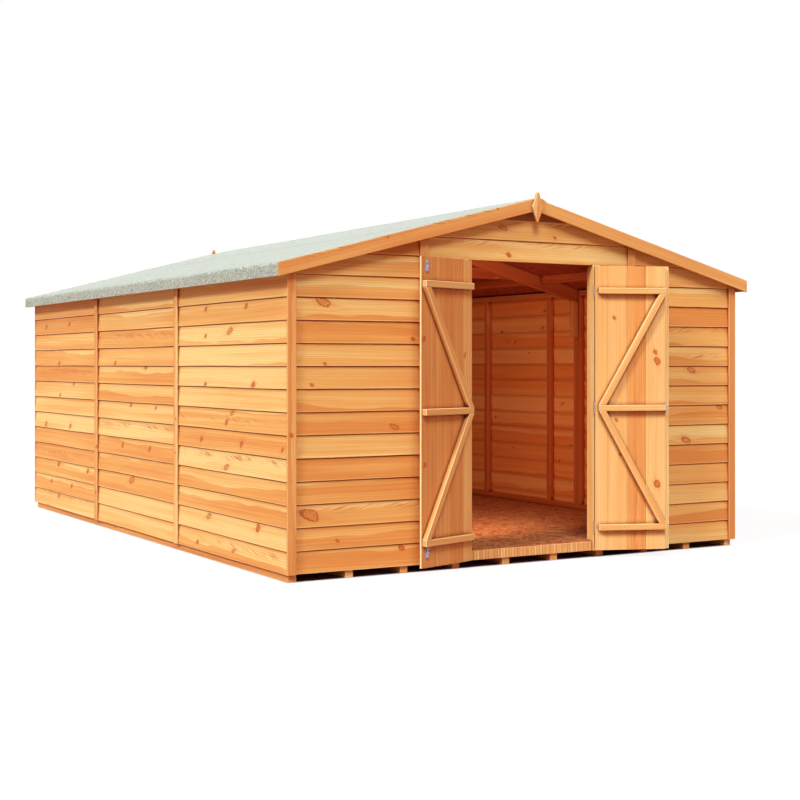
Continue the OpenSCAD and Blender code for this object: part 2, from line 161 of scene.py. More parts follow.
# Knots that the photograph shows, read from it: column, row, size in metres, and 1 for a ring.
LEFT_WALL_KNOTS_PX = (
    (205, 309, 0.014, 0), (245, 306, 0.016, 0), (229, 331, 0.019, 1), (205, 336, 0.012, 0),
    (205, 385, 0.017, 0), (253, 385, 0.02, 0), (201, 439, 0.017, 0), (241, 444, 0.018, 0),
    (226, 467, 0.017, 1), (208, 516, 0.016, 1), (257, 528, 0.022, 0), (233, 551, 0.012, 1),
    (197, 542, 0.014, 0), (115, 364, 0.018, 0), (145, 366, 0.022, 0), (122, 445, 0.018, 0),
    (149, 449, 0.018, 0), (131, 480, 0.024, 1), (46, 327, 0.018, 0), (69, 324, 0.018, 0),
    (59, 364, 0.02, 0), (58, 464, 0.022, 0), (87, 471, 0.018, 0), (51, 481, 0.016, 0),
    (71, 486, 0.017, 0), (58, 496, 0.017, 0), (226, 422, 0.018, 0), (231, 413, 0.014, 1),
    (282, 450, 0.012, 0), (60, 395, 0.014, 0), (73, 384, 0.014, 0), (46, 424, 0.018, 0),
    (70, 426, 0.018, 0), (130, 405, 0.014, 0), (155, 408, 0.012, 0),
)
FRONT_WALL_KNOTS_PX = (
    (310, 515, 0.03, 1), (324, 302, 0.022, 1), (402, 548, 0.015, 0), (338, 541, 0.01, 0),
    (325, 364, 0.009, 0), (312, 385, 0.009, 0), (413, 339, 0.011, 0), (686, 440, 0.019, 1),
    (692, 370, 0.016, 1), (720, 407, 0.013, 1), (509, 255, 0.014, 0),
    (504, 228, 0.016, 1), (555, 238, 0.008, 0), (395, 427, 0.016, 1),
)
LEFT_LEAF_KNOTS_PX = ((424, 339, 0.013, 0), (425, 465, 0.012, 0), (465, 355, 0.009, 1))
RIGHT_LEAF_KNOTS_PX = (
    (657, 361, 0.02, 0), (655, 352, 0.012, 0), (657, 484, 0.019, 0), (614, 318, 0.01, 0),
    (616, 420, 0.01, 0), (620, 455, 0.008, 0), (614, 504, 0.008, 0),
)
CORNER_KNOTS_PX = ((291.5, 435.6, 0.011, 0),)
BARGE_KNOTS_PX = ((388, 236.6, 0.006, 0), (498, 208.6, 0.006, 0))

# The top edge of the front bargeboard on the right: a waney lump beside the finial, then a dip.
WANEY_PX = ((543, 198), (551, 204))
WANEY_RISE = (0.009, -0.005)
WANEY_HALF = (0.024, 0.04)

# Knots strewn over the boards that the photograph doesn't show.
KNOT_LETTERS = "abc"
KNOTS_A_BOARD = len(KNOT_LETTERS)
NO_KNOT = (9.0, 9.0, 0.001, 0.0)
KNOT_CHANCE_MOST = 0.75
KNOT_CHANCE_A_METRE = 0.8
KNOT_RADII = (0.005, 0.013)
KNOT_WIDEST = 0.5
KNOT_SPREAD = 0.8
KNOT_KINDS = (0.0, 0.0, 1.0)

# Wood colours: orange heart, gold, pale sap, and the dark line of late growth.
# Framing and roof are darker copies of the wood, painted shade for timbers in shade; sill is a brighter
# copy, painted light.
WOODS = {
    "cladding": ((0.78, 0.315, 0.078), (0.89, 0.5, 0.15), (0.96, 0.74, 0.3), (0.58, 0.2, 0.045)),
    "framing": ((0.5, 0.11, 0.026), (0.64, 0.2, 0.055), (0.8, 0.36, 0.12), (0.38, 0.085, 0.02)),
    "trim": ((0.76, 0.305, 0.082), (0.89, 0.475, 0.15), (0.97, 0.67, 0.28), (0.58, 0.19, 0.045)),
    "sill": ((0.8, 0.34, 0.1), (0.92, 0.52, 0.17), (1.0, 0.75, 0.33), (0.6, 0.22, 0.05)),
    "roof": ((0.36, 0.055, 0.012), (0.46, 0.09, 0.022), (0.55, 0.13, 0.04), (0.27, 0.04, 0.008)),
    "door": ((0.72, 0.265, 0.07), (0.87, 0.455, 0.145), (0.93, 0.635, 0.26), (0.58, 0.19, 0.045)),
}
KNOT_GLOW = (0.74, 0.26, 0.065)
KNOT_HEART = (0.7, 0.19, 0.03)
KNOT_RIM = (0.42, 0.062, 0.007)
TEAR = (0.64, 0.2, 0.042)
# Painted shade under the board above each lap.
LAP_SHADE = (0.34, 0.062, 0.006)
# Darker, redder painted shade on the inside faces of the lap boards.
INSIDE_SHADE = (1.0, 0.63, 0.54)
# Painted highlights on eased edges: pale outside, a dimmer orange on the timbers inside.
ARRIS_HIGHLIGHT = (1.0, 0.8, 0.47)
DIM_ARRIS_HIGHLIGHT = (0.8, 0.3, 0.09)
# Painted shade in crevices: deep for most wood and strand board, lighter and redder for lap boards.
CREVICE_SHADE = (0.26, 0.08, 0.045)
LAP_CREVICE_SHADE = (0.85, 0.4, 0.28)

# Growth figures: repeats along the grain, repeats across it, and the noise's detail.
SLOW_FIGURE = (0.8, 3.0, 1.0)
QUICK_FIGURE = (4.0, 12.0, 1.0)
BROAD_FIGURE = (0.6, 22.0, 1.0)
PATCH_FIGURE = (1.1, 26.0, 2.0)
FINE_FIGURE = (1.3, 170.0, 4.0)
FIBRE_FIGURE = (14.0, 900.0, 2.0)

# Growth rings in each metre from the pith; how large a knot shows for its size, and how its outline blurs.
RINGS_A_METRE = 95.0
KNOT_SCALE = 0.88
KNOT_BLUR = 1.1

# Shares of the broad bands and of the sap in a board's colour; doors are calmer.
BAND_SHARES = (1.1, 0.45)
DOOR_BAND_SHARES = (0.5, 0.05)

# Torn grain: the boards that have it by their seed, and the half width of the band it lies in, in metres.
TEAR_SEED = 3.7
TEAR_FROM = 0.88
TEAR_SURE = 0.95
TEAR_LINE_SEED = 5.3
TEAR_LINE_FROM = 0.88
TEAR_HALF = 0.016

# In metres: a lap board's painted highlight on its lower edge, its painted shade under the board above, and
# how far crevice shade reaches.
LAP_HIGHLIGHT_EDGE = (0.007, 0.003)
LAP_SHADE_EDGE = (COURSE - 0.007, COURSE - 0.003)
CREVICE_SHADE_REACH = 0.03
# Woods of the timbers inside the shed, whose edges take a dimmer painted highlight.
HIDDEN_WOODS = ("framing", "roof")

# Strand board and felt.
FLAKE_TURNS = (0.2, 0.9, 1.5, 2.2, 2.8)
STRAND_STOPS = ((0.0, (0.3, 0.066, 0.019)), (0.5, (0.47, 0.15, 0.047)), (1.0, (0.62, 0.26, 0.1)))
# Strand board faces that turn down are darkened by this: painted shade.
UNDERSIDE_SHADE = (0.66, 0.25, 0.26)
FELT_BLACK = (0.06, 0.075, 0.06)
FELT_WHITE = (0.85, 0.88, 0.82)
FELT_SPECK = 0.8
FELT_SPECK_EDGE = 0.6

# Steel: detail and repeats of its mottling, roughness by patch and at least, how metallic, how glossy.
PLATE = ((3.0, 160.0), (0.3, 0.3), 0.25, 0.5)
STAINED_PLATE = ((2.0, 300.0), (0.0, 0.5), 0.3, 0.3)


class Graph:
    """The node tree of a material or a world, built by short calls that give back sockets."""

    def __init__(self, owner):
        owner.use_nodes = True
        self.owner = owner
        self.tree = owner.node_tree
        self.tree.nodes.clear()

    def put(self, socket, value):
        if isinstance(value, bpy.types.NodeSocket):
            self.tree.links.new(value, socket)
        else:
            socket.default_value = value

    def node(self, kind, inputs=(), **settings):
        node = self.tree.nodes.new(kind)
        for key, value in settings.items():
            setattr(node, key, value)
        for key, value in dict(inputs).items():
            self.put(node.inputs[key], value)
        return node

    def math(self, operation, first, second=0.0, third=0.0):
        inputs = {0: first, 1: second, 2: third}
        return self.node("ShaderNodeMath", inputs, operation=operation).outputs[0]

    def add(self, *terms):
        total = terms[0]
        for term in terms[1:]:
            total = self.math("ADD", total, term)
        return total

    def most(self, *values):
        largest = values[0]
        for value in values[1:]:
            largest = self.math("MAXIMUM", largest, value)
        return largest

    def less(self, first, second):
        return self.math("SUBTRACT", first, second)

    def times(self, first, second):
        return self.math("MULTIPLY", first, second)

    def line(self, value, by, plus):
        return self.math("MULTIPLY_ADD", value, by, plus)

    def square(self, value):
        return self.times(value, value)

    def fall(self, value, by):
        return self.math("EXPONENT", self.times(value, by))

    def chance(self, seed, by):
        return self.math("FRACT", self.times(seed, by))

    def smooth(self, value, low, high):
        inputs = {"Value": value, "From Min": low, "From Max": high}
        node = self.node("ShaderNodeMapRange", inputs, interpolation_type="SMOOTHSTEP")
        return node.outputs[0]

    def band(self, value, rise, fall):
        return self.times(self.smooth(value, *rise), self.smooth(value, *fall))

    def attribute(self, name):
        return self.node("ShaderNodeAttribute", attribute_name=name)

    def place(self):
        return self.node("ShaderNodeTexCoord").outputs["Object"]

    def split(self, vector):
        return self.node("ShaderNodeSeparateXYZ", {0: vector}).outputs[:3]

    def join(self, x, y, z):
        return self.node("ShaderNodeCombineXYZ", {0: x, 1: y, 2: z}).outputs[0]

    def noise(self, vector, detail=2.0, scale=1.0):
        inputs = {"Vector": vector, "Scale": scale, "Detail": detail}
        return self.node("ShaderNodeTexNoise", inputs).outputs[0]

    def ramp(self, factor, stops):
        node = self.node("ShaderNodeValToRGB", {0: factor})
        elements = node.color_ramp.elements
        elements.remove(elements[1])
        elements[0].position = stops[0][0]
        elements[0].color = (*stops[0][1], 1.0)
        for place, colour in stops[1:]:
            elements.new(place).color = (*colour, 1.0)
        return node.outputs[0]

    def mix(self, factor, first, second, blend="MIX"):
        first = first if isinstance(first, bpy.types.NodeSocket) else (*first, 1.0)
        second = second if isinstance(second, bpy.types.NodeSocket) else (*second, 1.0)
        inputs = {0: factor, 6: first, 7: second}
        return self.node("ShaderNodeMix", inputs, data_type="RGBA", blend_type=blend).outputs[2]

    def mix_shaders(self, factor, first, second):
        inputs = {0: factor, 1: first.outputs[0], 2: second.outputs[0]}
        return self.node("ShaderNodeMixShader", inputs)

    def studio_rays(self):
        """1 for the rays that see the white studio: the camera's, and those that metal or glass sends on."""
        path = self.node("ShaderNodeLightPath").outputs
        return self.most(path["Is Camera Ray"], path["Is Glossy Ray"], path["Is Transmission Ray"])

    def surface(self, colour, roughness, height, relief, metallic=0.0, specular=0.3):
        bump = self.node("ShaderNodeBump", {"Height": height, "Strength": 1.0, "Distance": relief})
        inputs = {
            "Base Color": colour,
            "Roughness": roughness,
            "Metallic": metallic,
            "Specular IOR Level": specular,
            "Normal": bump.outputs[0],
        }
        shader = self.node("ShaderNodeBsdfPrincipled", inputs)
        self.node("ShaderNodeOutputMaterial", {"Surface": shader.outputs[0]})
        return self.owner


def material_graph(name):
    return Graph(bpy.data.materials.new(name))


def knot_field(g, along, across, name):
    """One knot of a board: how far from its middle, how it bends the grain, if it is a ring, its tail."""
    spot = g.attribute(name)
    middle, height, radius = g.split(spot.outputs["Vector"])
    radius = g.times(radius, KNOT_SCALE)
    ring = spot.outputs["Alpha"]
    past = g.less(along, middle)
    aside = g.less(across, height)
    reach = g.times(radius, g.line(ring, 0.7, 1.2))
    long_square = g.square(g.math("DIVIDE", past, reach))
    short_square = g.square(g.math("DIVIDE", g.line(past, 0.25, aside), radius))
    whole = g.add(long_square, short_square)
    bend = g.times(aside, g.fall(whole, -0.3))
    tail = g.math("EXPONENT", g.add(g.times(short_square, -3.0), g.times(long_square, -0.14)))
    return g.math("SQRT", whole), bend, ring, tail


class Grain:
    """A spot of a board as the wood sees it: its place, the board's own draws, its knots and its rings."""

    def __init__(self, g):
        self.g = g
        self.along, self.across, self.through = g.split(g.attribute("grain").outputs["Vector"])
        self.seed, self.tone, self.lean = g.split(g.attribute("board").outputs["Vector"])
        self.knots = [knot_field(g, self.along, self.across, "knot_" + letter) for letter in KNOT_LETTERS]
        self.slow = self.slow_noise()
        self.quick = self.figure(QUICK_FIGURE, self.across)
        self.patch = self.figure(PATCH_FIGURE, self.across)
        self.fibre = self.fibre_noise()
        self.blur = g.noise(g.join(self.along, self.across, self.seed), 2.0, 45.0)
        self.radius = self.from_pith()
        self.late = g.band(g.chance(self.radius, RINGS_A_METRE), (0.3, 0.85), (1.0, 0.9))

    def figure(self, repeats, across):
        """Streaks along the grain."""
        g = self.g
        along_rate, across_rate, detail = repeats
        place = g.join(g.line(self.along, along_rate, self.seed), g.times(across, across_rate), self.seed)
        return g.noise(place, detail)

    def slow_noise(self):
        g = self.g
        along_rate, across_rate, detail = SLOW_FIGURE
        along = g.line(self.along, along_rate, self.seed)
        return g.noise(g.join(along, self.seed, g.times(self.across, across_rate)), detail)

    def fibre_noise(self):
        g = self.g
        along_rate, across_rate, detail = FIBRE_FIGURE
        sides = [g.times(side, across_rate) for side in (self.across, self.through)]
        return g.noise(g.join(g.times(self.along, along_rate), *sides), detail)

    def from_pith(self):
        """Distance from the pith, which lies behind the board and wanders; knots bend it."""
        g = self.g
        bends = g.add(*[knot[1] for knot in self.knots])
        wander = g.add(g.times(self.slow, 0.035), g.times(self.quick, 0.004), -0.02)
        aside = g.add(self.across, g.times(bends, -0.8), g.times(self.lean, -0.12), wander)
        deep = g.add(self.through, 0.012, g.times(g.chance(self.seed, 7.1), 0.05))
        return g.math("SQRT", g.add(g.square(aside), g.square(deep)))


def growth_colour(grain, slot):
    """Heart and sap: the board's tone, broad bands, fine streaks, and the dark lines of late growth."""
    g = grain.g
    orange, gold, pale, line = WOODS[slot]
    broad_share, sap_share = DOOR_BAND_SHARES if slot == "door" else BAND_SHARES
    sap_edge = g.line(grain.lean, 0.1, 0.5 * COURSE)
    wander = g.add(g.times(grain.slow, 0.14), g.times(grain.quick, 0.04), -0.09)
    sap_place = g.add(grain.across, wander)
    sap = g.smooth(g.less(sap_place, sap_edge), -0.002, 0.004)
    level = g.add(
        g.times(grain.tone, 0.3),
        g.times(grain.figure(BROAD_FIGURE, grain.radius), broad_share),
        g.times(grain.patch, 0.6),
        g.times(grain.figure(FINE_FIGURE, grain.radius), 0.75),
        g.times(grain.fibre, 0.1),
        g.times(sap, sap_share),
        -0.26 - 0.5 * (broad_share + sap_share),
    )
    colour = g.ramp(level, ((0.0, orange), (0.5, gold), (1.0, pale)))
    return g.mix(g.times(grain.late, g.line(grain.patch, 0.5, -0.05)), colour, line)


def with_knots(grain, colour):
    """Adds a board's knots: a glow around each, a heart and a dark rim; a ring has another rim inside."""
    g = grain.g
    for distance, _, ring, tail in grain.knots:
        distance = g.add(distance, g.times(grain.blur, KNOT_BLUR), -0.5 * KNOT_BLUR)
        halo = g.fall(g.square(distance), -0.5)
        colour = g.mix(g.times(g.most(halo, tail), 0.5), colour, KNOT_GLOW)
        heart = g.times(g.smooth(distance, 1.1, 0.7), g.line(ring, -0.6, 0.9))
        colour = g.mix(heart, colour, KNOT_HEART)
        rim = g.times(g.band(distance, (0.6, 0.95), (1.25, 1.0)), g.smooth(grain.blur, 0.2, 0.45))
        core = g.times(g.smooth(distance, 0.5, 0.1), g.line(ring, -0.7, 0.8))
        inner = g.times(g.band(distance, (0.3, 0.45), (0.65, 0.5)), g.times(ring, 0.45))
        dark = g.times(g.most(rim, core, inner), g.line(ring, -0.05, 0.85))
        colour = g.mix(dark, colour, KNOT_RIM)
    return colour


def with_tears(grain, colour):
    """Adds slanting strokes of torn grain, in one band of the few boards whose seed says so."""
    g = grain.g
    torn = g.smooth(g.chance(grain.seed, TEAR_SEED), TEAR_FROM, TEAR_FROM + 0.01)
    middle = g.line(g.chance(grain.seed, TEAR_LINE_SEED), 0.5 * COURSE, 0.4 * COURSE)
    away = g.math("DIVIDE", g.less(grain.across, middle), TEAR_HALF)
    band = g.fall(g.square(away), -1.0)
    slant = g.add(g.times(grain.along, 52.0), g.times(grain.across, -210.0), g.times(grain.slow, 6.0))
    stroke_place = g.join(slant, g.times(grain.across, 30.0), grain.seed)
    stroke = g.smooth(g.noise(stroke_place, 1.0), 0.52, 0.6)
    shown = g.times(stroke, g.smooth(grain.quick, 0.35, 0.55))
    return g.mix(g.times(g.times(g.times(torn, band), shown), 0.95), colour, TEAR)


def with_lap(grain, colour, pale):
    """Painted light on a lap board: a highlight on its lower edge, shade under the board above, and a
    darker, redder inside.
    """
    g = grain.g
    inside = g.smooth(grain.through, 0.5 * BOARD_T, 0.2 * BOARD_T)
    # A painted highlight along the board's lower edge.
    arris = g.times(g.smooth(grain.across, *LAP_HIGHLIGHT_EDGE), 0.55)
    colour = g.mix(arris, colour, pale)
    # Painted shade under the board above, weaker on the inside face.
    lap_shade = g.times(g.smooth(grain.across, *LAP_SHADE_EDGE), g.line(inside, -0.6, 0.9))
    colour = g.mix(lap_shade, colour, LAP_SHADE)
    # The inside face takes darker, redder painted shade.
    return g.mix(inside, colour, INSIDE_SHADE, "MULTIPLY")


def crevice_shade(g, colour, shade_colour=CREVICE_SHADE):
    """Painted shade where pieces meet: red-brown in the corners, none in the open."""
    inputs = {"Distance": CREVICE_SHADE_REACH}
    open_share = g.node("ShaderNodeAmbientOcclusion", inputs, samples=4).outputs["AO"]
    return g.mix(g.smooth(open_share, 0.88, 0.38), colour, shade_colour, "MULTIPLY")


def wood(slot):
    """Sawn softwood: growth rings round a pith, knots, torn grain, painted highlights on edges and painted
    shade in crevices.
    """
    g = material_graph(slot + "_wood")
    grain = Grain(g)
    colour = with_tears(grain, with_knots(grain, growth_colour(grain, slot)))
    if slot == "cladding":
        colour = with_lap(grain, colour, WOODS[slot][2])
    hidden = slot in HIDDEN_WOODS
    # Eased edges take a painted highlight, dimmer on the woods inside.
    edge = g.times(g.attribute("arris").outputs["Fac"], 0.6 if hidden else 0.85)
    colour = g.mix(edge, colour, DIM_ARRIS_HIGHLIGHT if hidden else ARRIS_HIGHLIGHT)
    # Painted shade in crevices, except on the sill wood.
    if slot != "sill":
        colour = crevice_shade(g, colour, LAP_CREVICE_SHADE if slot == "cladding" else CREVICE_SHADE)
    height = g.add(grain.fibre, g.times(grain.late, 0.5))
    roughness = g.line(grain.late, 0.1, 0.6)
    return g.surface(colour, roughness, height, relief=0.0003)


def strand_board():
    """Strand board: long flakes lying at all angles, the uppermost flake showing at each place; painted
    shade on faces turned down and in crevices.
    """
    g = material_graph("strand_board")
    place = g.place()
    top = 0.0
    shade = 0.5
    for turn in FLAKE_TURNS:
        turned = g.node("ShaderNodeVectorRotate", {"Vector": place, "Angle": turn}, rotation_type="Z_AXIS")
        x, y, z = g.split(turned.outputs[0])
        stretched = g.join(g.times(x, 14.0), g.times(y, 70.0), g.line(z, 4.0, turn))
        cell = g.node("ShaderNodeTexVoronoi", {"Vector": stretched, "Scale": 1.0})
        rank, flake, _ = g.split(cell.outputs["Color"])
        over = g.math("GREATER_THAN", rank, top)
        shade = g.add(g.times(flake, over), g.times(shade, g.less(1.0, over)))
        top = g.most(rank, top)
    fibre = g.noise(place, detail=4.0, scale=90.0)
    colour = g.ramp(g.add(g.times(shade, 1.15), g.times(fibre, 0.4), -0.28), STRAND_STOPS)
    _, _, upward = g.split(g.node("ShaderNodeNewGeometry").outputs["Normal"])
    # Faces that turn down take painted shade.
    colour = g.mix(g.smooth(upward, -0.3, -0.8), colour, UNDERSIDE_SHADE, "MULTIPLY")
    return g.surface(crevice_shade(g, colour), 0.65, shade, relief=0.0006)


def felt(name, pale, grey, grain, black_share, white_share):
    """Mineral felt: fine slate grains, a few of them black or white."""
    g = material_graph(name)
    place = g.place()
    grains = g.node("ShaderNodeTexVoronoi", {"Vector": place, "Scale": 1.0 / grain})
    chance, _, _ = g.split(grains.outputs["Color"])
    patches = g.noise(place, detail=3.0, scale=3.0)
    level = g.add(g.times(chance, 0.55), g.times(patches, 0.5), -0.02)
    colour = g.ramp(level, ((0.0, grey), (0.5, pale), (1.0, pale)))
    black = g.smooth(chance, black_share, FELT_SPECK_EDGE * black_share)
    colour = g.mix(g.times(black, FELT_SPECK), colour, FELT_BLACK)
    white = g.smooth(chance, 1.0 - white_share, 1.0 - FELT_SPECK_EDGE * white_share)
    colour = g.mix(g.times(white, FELT_SPECK), colour, FELT_WHITE)
    return g.surface(colour, 0.9, chance, relief=0.0008, specular=0.15)


def plated(name, tones, mottling, roughness_range, metallic, specular):
    """Plated steel: dull, mottled, rougher in patches."""
    g = material_graph(name)
    place = g.place()
    mottle = g.noise(place, *mottling)
    roughness = g.line(g.noise(place, detail=2.0, scale=25.0), *roughness_range)
    colour = g.ramp(mottle, ((0.3, tones[0]), (0.7, tones[1])))
    return g.surface(colour, roughness, mottle, relief=0.0001, metallic=metallic, specular=specular)


def torn_seed(count):
    """The next board seed that has torn grain along the board's upper part."""
    seed = (count + TEAR_SURE) / TEAR_SEED
    while (seed * TEAR_LINE_SEED) % 1.0 < TEAR_LINE_FROM:
        count += 1
        seed = (count + TEAR_SURE) / TEAR_SEED
    return seed


class Pile:
    """Timbers joined into one mesh, each with its own grain, tone and knots."""

    def __init__(self):
        self.points = []
        self.faces = []
        self.grain = []
        self.board = []
        self.arris = []
        self.knots = [[] for _ in KNOT_LETTERS]

    def put(self, points, faces, grain, tone, knots, arris=None, torn=False):
        first = len(self.points)
        count = len(points)
        self.points.extend(tuple(point) for point in points)
        self.faces.extend([first + index for index in face] for face in faces)
        self.grain.extend(tuple(spot) for spot in grain)
        lean = draw.uniform(-1.0, 1.0)
        seed = draw.uniform(0.0, 40.0)
        if torn:
            seed = torn_seed(math.floor(seed * TEAR_SEED))
        self.board.extend([(seed, tone, lean)] * count)
        self.arris.extend([0.0] * count if arris is None else arris)
        held = list(knots[:KNOTS_A_BOARD])
        held += [NO_KNOT] * (KNOTS_A_BOARD - len(held))
        for layer, knot in zip(self.knots, held):
            layer.extend([knot] * count)

    def build(self, name, nodes, slot, body="shed", material=None):
        mesh = bpy.data.meshes.new(name)
        mesh.from_pydata(self.points, [], self.faces)
        layers = [("grain", "FLOAT_VECTOR", "vector", self.grain)]
        layers.append(("board", "FLOAT_VECTOR", "vector", self.board))
        layers.append(("arris", "FLOAT", "value", self.arris))
        for letter, values in zip(KNOT_LETTERS, self.knots):
            layers.append(("knot_" + letter, "FLOAT_COLOR", "color", values))
        for key, kind, field, values in layers:
            layer = mesh.attributes.new(key, kind, "POINT")
            layer.data.foreach_set(field, np.array(values, np.float32).ravel())
        finish_piece(mesh, body, nodes, MATERIALS[material or slot])


def finish_piece(mesh, body, nodes, material):
    """Puts a mesh in the scene as a piece that rides on a body and stands for CAD nodes."""
    mesh.materials.append(material)
    piece = bpy.data.objects.new(mesh.name, mesh)
    bpy.context.scene.collection.objects.link(piece)
    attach(piece, body)
    if nodes:
        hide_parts(*nodes)


def corners(node):
    """The points of a CAD node's mesh."""
    return np.array([vert.co for vert in frame["nodes"][node].data.vertices])


def solids(node):
    """The separate solids of a CAD node: the points of each, and its flat faces."""
    bm = bmesh.new()
    bm.from_mesh(frame["nodes"][node].data)
    bmesh.ops.remove_doubles(bm, verts=bm.verts, dist=WELD)
    bmesh.ops.dissolve_limit(bm, angle_limit=FLAT_ANGLE, verts=bm.verts, edges=bm.edges)
    bm.verts.index_update()
    bm.verts.ensure_lookup_table()
    seen = set()
    found = []
    for start in range(len(bm.verts)):
        if start in seen:
            continue
        members = reachable(bm.verts[start])
        seen.update(members)
        order = sorted(members)
        rank = {index: place for place, index in enumerate(order)}
        points = np.array([bm.verts[index].co for index in order])
        own = [face for face in bm.faces if face.verts[0].index in rank]
        found.append((points, [[rank[vert.index] for vert in face.verts] for face in own]))
    bm.free()
    return found


def reachable(vert):
    """Indices of the vertices joined to one by edges."""
    members = {vert.index}
    waiting = [vert]
    while waiting:
        for edge in waiting.pop().link_edges:
            for end in edge.verts:
                if end.index not in members:
                    members.add(end.index)
                    waiting.append(end)
    return members


def eased(points, faces, ease):
    """A solid with its sharp edges rounded, and which of its points lie on a rounding."""
    bm = bmesh.new()
    verts = [bm.verts.new(point) for point in points]
    for face in faces:
        bm.faces.new([verts[index] for index in face])
    bmesh.ops.recalc_face_normals(bm, faces=bm.faces)
    sharp = [edge for edge in bm.edges if edge.calc_face_angle(0.0) > SHARP_ANGLE]
    made = bmesh.ops.bevel(
        bm, geom=sharp, offset=ease, segments=EASE_SEGMENTS, profile=0.5, affect="EDGES", clamp_overlap=True,
    )
    rounding = set(made["faces"])
    bm.verts.index_update()
    new_points = np.array([vert.co for vert in bm.verts])
    new_faces = [[vert.index for vert in face.verts] for face in bm.faces]
    arris = [float(all(face in rounding for face in vert.link_faces)) for vert in bm.verts]
    bm.free()
    return new_points, new_faces, arris


def swept_faces(rings, sides):
    """Faces of a closed tube: so many rings of so many corners each, and a cap at each end."""
    faces = []
    for ring in range(rings - 1):
        for side in range(sides):
            near = ring * sides + side
            far = ring * sides + (side + 1) % sides
            faces.append([near, far, far + sides, near + sides])
    faces.append(list(range(sides))[::-1])
    faces.append(list(range((rings - 1) * sides, rings * sides)))
    return faces


def prism(outline, near, far):
    """Corners and faces of a flat outline (along, height) between two depths."""
    spots = [(u, depth, z) for depth in (near, far) for u, z in outline]
    return np.array(spots), swept_faces(2, len(outline))


def grain_axes(points, faces, along=None):
    """Unit vectors along, across and through a timber: along its longest edge, through its least depth."""
    edges = [points[a] - points[b] for face in faces for a, b in zip(face, face[1:] + face[:1])]
    if along is None:
        along = max(edges, key=lambda edge: round(float(np.linalg.norm(edge)), DIGITS))
    along = np.array(along) / np.linalg.norm(along)
    along = along * np.sign(along[np.argmax(np.abs(along))])
    sides = []
    for edge in edges:
        flat = edge - along * float(edge @ along)
        size = float(np.linalg.norm(flat))
        if size > LEAST_SIDE:
            sides.append(flat / size)
    through = min(sides, key=lambda side: round(float(np.ptp(points @ side)), DIGITS))
    return along, np.cross(through, along), through


def timber(pile, points, faces, along=None, ease=EASE, tone=None, knots=None):
    """Adds one solid as an eased timber with its own grain."""
    axes = np.array(grain_axes(points, faces, along))
    middle = (points.min(0) + points.max(0)) / 2
    reach = np.abs((points - middle) @ axes.T).max(0)
    new_points, new_faces, arris = eased(points, faces, ease)
    tone = draw.gauss(0.0, TIMBER_SPREAD) if tone is None else tone
    knots = some_knots(reach) if knots is None else knots
    pile.put(new_points, new_faces, (new_points - middle) @ axes.T, tone, knots, arris)


def some_knots(reach):
    """Knots strewn over a timber that reaches so far along and across from its middle."""
    spots = []
    for _ in range(KNOTS_A_BOARD):
        if draw.random() < min(KNOT_CHANCE_MOST, reach[0] * KNOT_CHANCE_A_METRE):
            radius = min(draw.uniform(*KNOT_RADII), reach[1] * KNOT_WIDEST)
            spot = (draw.uniform(-reach[0], reach[0]), draw.uniform(-KNOT_SPREAD, KNOT_SPREAD) * reach[1])
            spots.append((*spot, radius, draw.choice(KNOT_KINDS)))
    return spots


def front_knots(points, faces, seen_knots):
    """The photograph's knots on an upright strip of the front wall, in the strip's own grain."""
    axes = np.array(grain_axes(points, faces))
    low, high = points.min(0), points.max(0)
    middle = (low + high) / 2
    held = []
    for hit, size, ring in seen_spots(low, FRONT_NORMAL, seen_knots):
        if low[0] < hit[0] < high[0] and low[2] < hit[2] < high[2]:
            away = axes @ (np.array(hit) - middle)
            held.append((away[0], away[1], size, ring))
    return held


def timbers(
    name, nodes, slot, body="shed", tone=None, ease=EASE, material=None, knots=None, seen_knots=(),
):
    """One joined piece of eased timbers in place of CAD nodes; those in front may have seen knots."""
    pile = Pile()
    for node in nodes:
        for points, faces in solids(node):
            chosen = None if tone is None else tone + draw.gauss(0.0, SET_SPREAD)
            in_front = points[:, 1].max() < 0
            held = front_knots(points, faces, seen_knots) if seen_knots and in_front else knots
            timber(pile, points, faces, ease=ease, tone=chosen, knots=held)
    pile.build(name, nodes, slot, body, material)


def roof_line():
    """Height of the roof sheet's underside over the middle, and its fall for each metre outward."""
    points = corners("roof_sheet_left")
    middle = points[points[:, 0] > points[:, 0].max() - SAME_PLACE]
    eave = points[points[:, 0] < points[:, 0].min() + SAME_PLACE]
    ridge = middle[:, 2].min()
    return ridge, (ridge - eave[:, 2].min()) / (middle[0, 0] - eave[0, 0])


RIDGE_Z, ROOF_FALL = roof_line()


def under_roof(x):
    return RIDGE_Z - ROOF_FALL * abs(x)


def camera_ray(column, row):
    """Direction in which the photograph's camera sees a pixel."""
    right = Vector((math.cos(CAMERA_YAW), -math.sin(CAMERA_YAW), 0.0))
    ahead = Vector((math.sin(CAMERA_YAW), math.cos(CAMERA_YAW), 0.0))
    up = Vector(UPRIGHT)
    half = IMAGE_PX / 2
    return ahead + right * ((column - half) / FOCAL_PX) + up * ((HORIZON_PX - row) / FOCAL_PX)


def on_plane(spot, normal, column, row):
    """Where the camera's ray through a pixel meets a plane."""
    start = Vector(CAMERA_PLACE)
    ray = camera_ray(column, row)
    return start + ray * ((Vector(spot) - start).dot(normal) / ray.dot(normal))


def seen_spots(spot, normal, seen_knots):
    """Where the photograph's knots lie on a plane, with each one's size and kind."""
    return [(on_plane(spot, normal, *pixel), size, float(ring)) for *pixel, size, ring in seen_knots]


